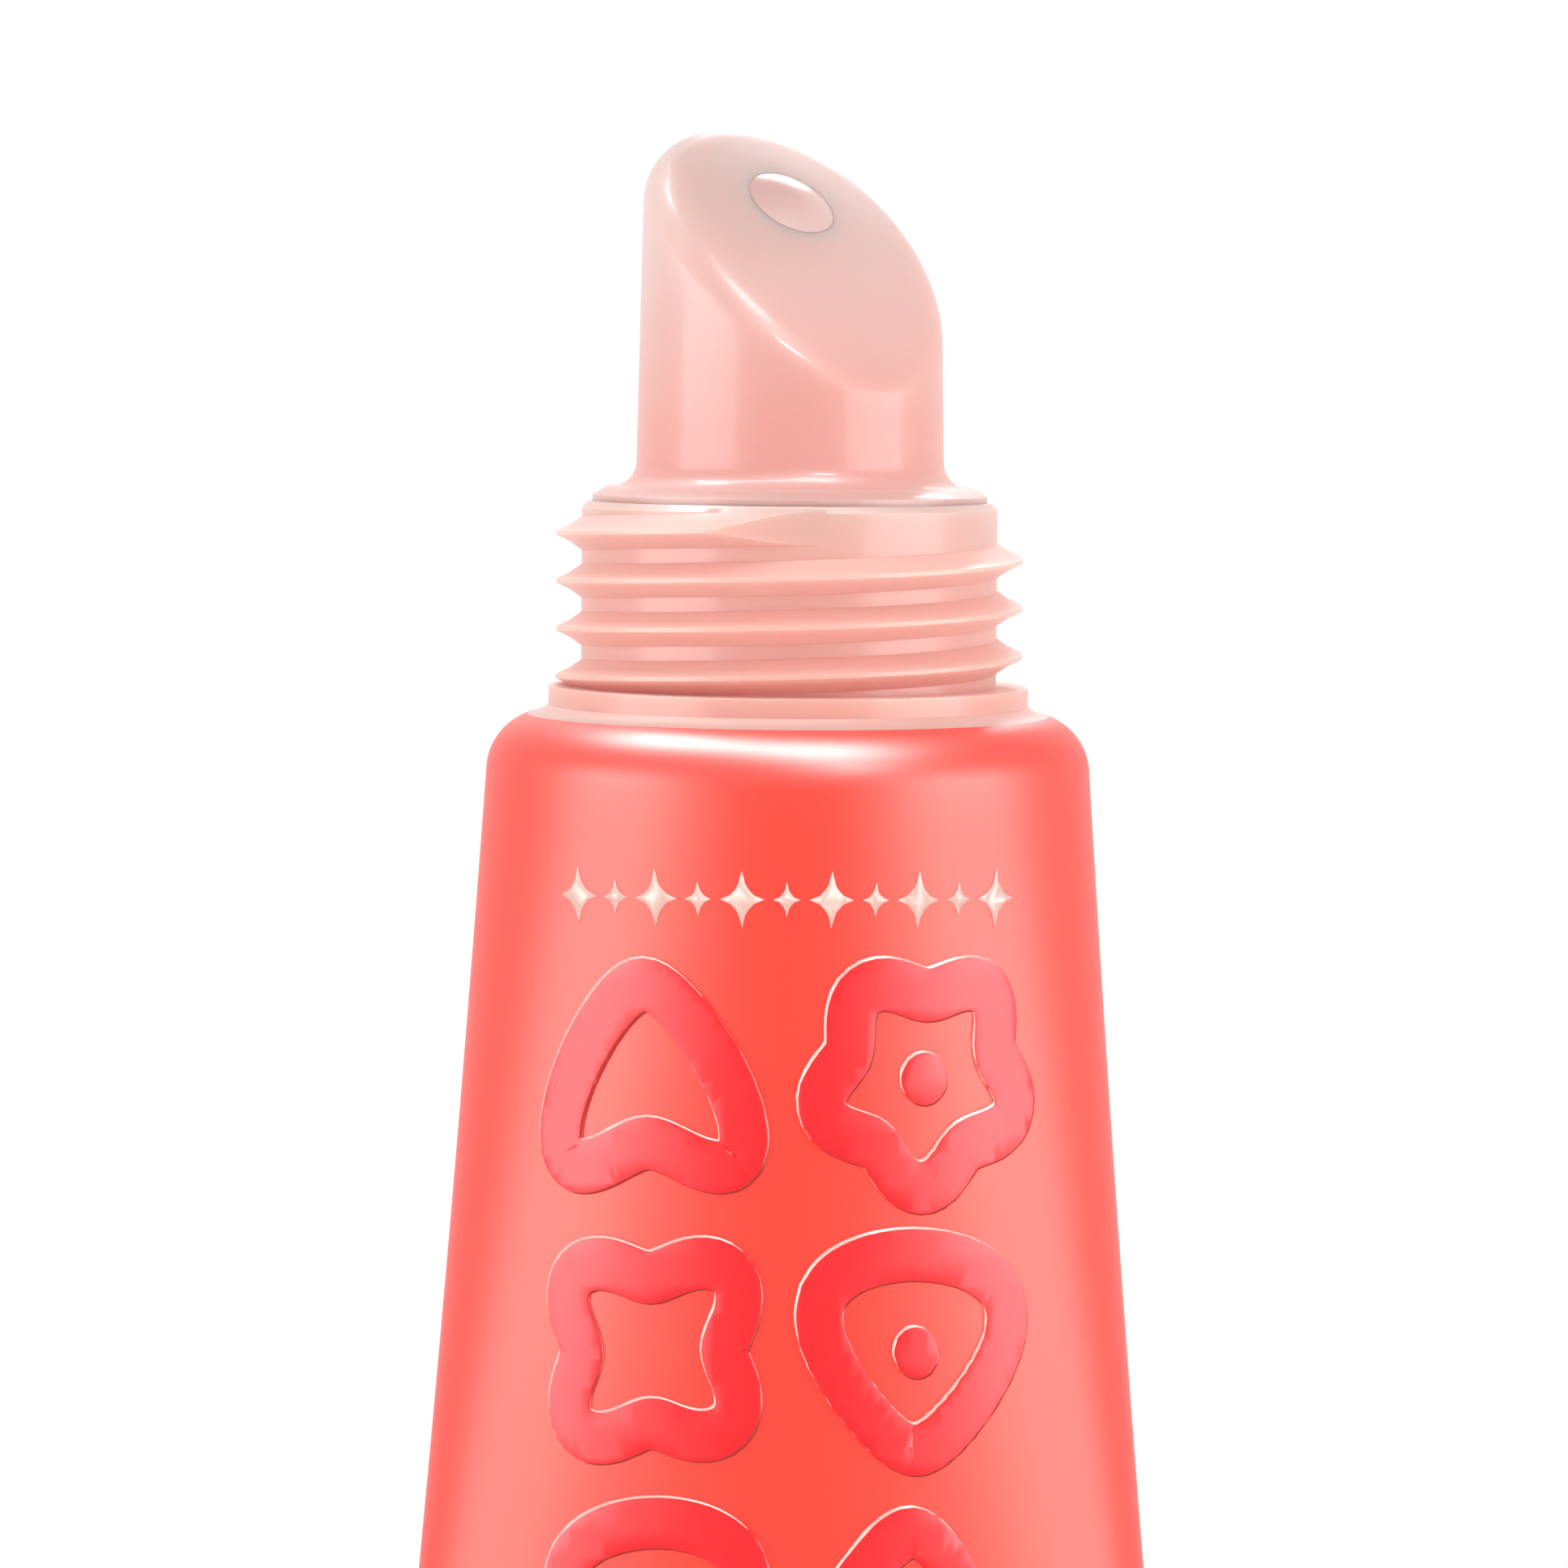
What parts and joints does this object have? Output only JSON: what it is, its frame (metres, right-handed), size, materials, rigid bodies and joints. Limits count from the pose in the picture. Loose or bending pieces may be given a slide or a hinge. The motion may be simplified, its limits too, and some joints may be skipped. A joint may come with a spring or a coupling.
{
  "type": "lip gloss tube",
  "caption": "Squeeze tube for lip gloss: slanted applicator tip with an orifice, threaded neck, tapering sleeve with a flat crimp, and a screw cap lifted off above the tip.",
  "frame": {"origin": "middle of the crimp's lower edge, on the tube's axis", "axes": "+Z along the tube's axis from the crimp to the tip, +X along the crimp, -Y towards the decorated front"},
  "size_m": [0.03, 0.019, 0.1145],
  "materials": {
    "sleeve_plastic": "glossy coral extruded polyethylene",
    "natural_plastic": "translucent natural polyethylene, moulded, satin",
    "tip_plastic": "translucent natural polyethylene, moulded, soft satin",
    "gloss_filling": "clear pink gel",
    "cap_plastic": "glossy coral polypropylene, moulded",
    "core_plastic": "natural polypropylene, moulded",
    "seal_rubber": "soft white silicone"
  },
  "bodies": {
    "tube": {"sleeve": "sleeve_plastic", "tube_head": "natural_plastic", "applicator_tip": "tip_plastic", "gloss": "gloss_filling"},
    "cap_lifter": {"cap_seal_ring": "seal_rubber"},
    "cap": {"cap_shell": "cap_plastic", "cap_core": "core_plastic"}
  },
  "joints": [
    {"name": "cap_lift", "type": "slide", "parent": "tube", "child": "cap_lifter", "axis": [0, 0, 1], "range_m": [-0.027, 0]},
    {"name": "cap_turn", "type": "hinge", "parent": "cap_lifter", "child": "cap", "pos_m": [0, 0, 0.0923], "axis": [0, 0, 1], "range_deg": [-6480, 0]}
  ],
  "couplings": [
    {"joint": "cap_lift", "follows": "cap_turn", "m_per_rad": 0.00023873}
  ]
}
